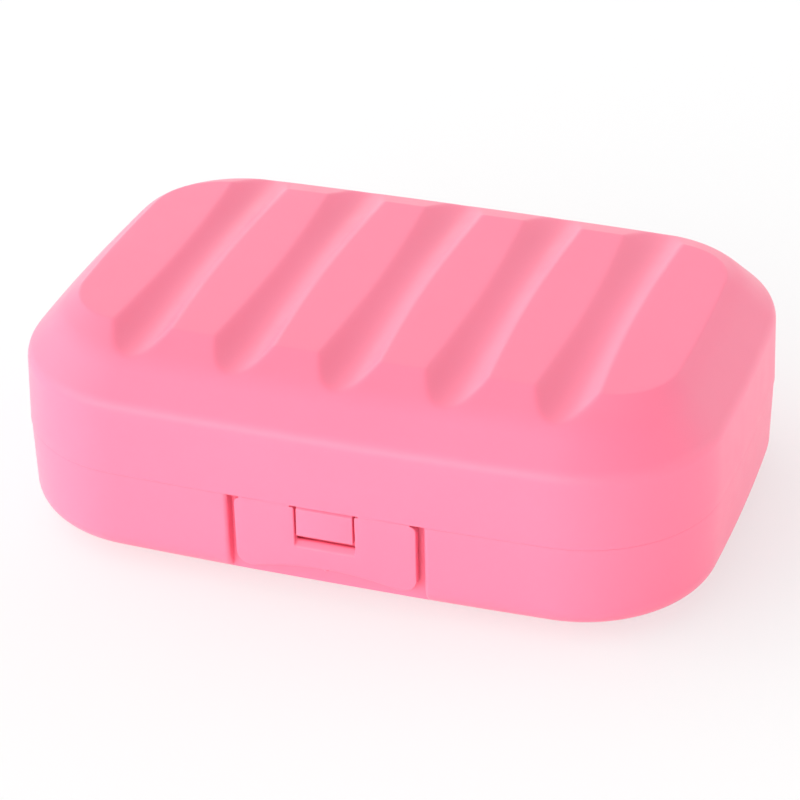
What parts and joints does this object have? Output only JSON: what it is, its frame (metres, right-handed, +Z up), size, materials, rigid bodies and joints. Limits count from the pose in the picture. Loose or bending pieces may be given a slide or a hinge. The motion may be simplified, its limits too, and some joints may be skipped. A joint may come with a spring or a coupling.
{
  "type": "travel soap box",
  "caption": "Rounded two-part travel soap box with a fluted, shouldered lid on a pinned rear hinge, a front latch flap over a catch, and drain ribs on the floor.",
  "frame": {"origin": "middle of the box's plan outline, on its flat underside", "axes": "+Z up; +X to the box's right along its length, seen from the latch; the latch faces -Y"},
  "size_m": [0.115, 0.0841, 0.037],
  "materials": {
    "pink_plastic": "satin moulded polypropylene, slightly see-through where it is thin",
    "pin_steel": "plain drawn wire"
  },
  "bodies": {
    "base": {"base_shell": "pink_plastic", "hinge_pin_left": "pin_steel", "hinge_pin_right": "pin_steel"},
    "lid": {"lid_shell": "pink_plastic", "latch_film_left": "pink_plastic", "latch_film_right": "pink_plastic"},
    "latch": {"latch_flap": "pink_plastic"}
  },
  "joints": [
    {"name": "lid_hinge", "type": "hinge", "parent": "base", "child": "lid", "pos_m": [0, 0.04225, 0.0172], "axis": [-1, 0, 0], "range_deg": [0, 150]},
    {"name": "latch_swing", "type": "hinge", "parent": "lid", "child": "latch", "pos_m": [0, -0.0395, 0.01702], "axis": [-1, 0, 0], "range_deg": [0, 110], "deforming": ["latch_film_left", "latch_film_right"]}
  ]
}
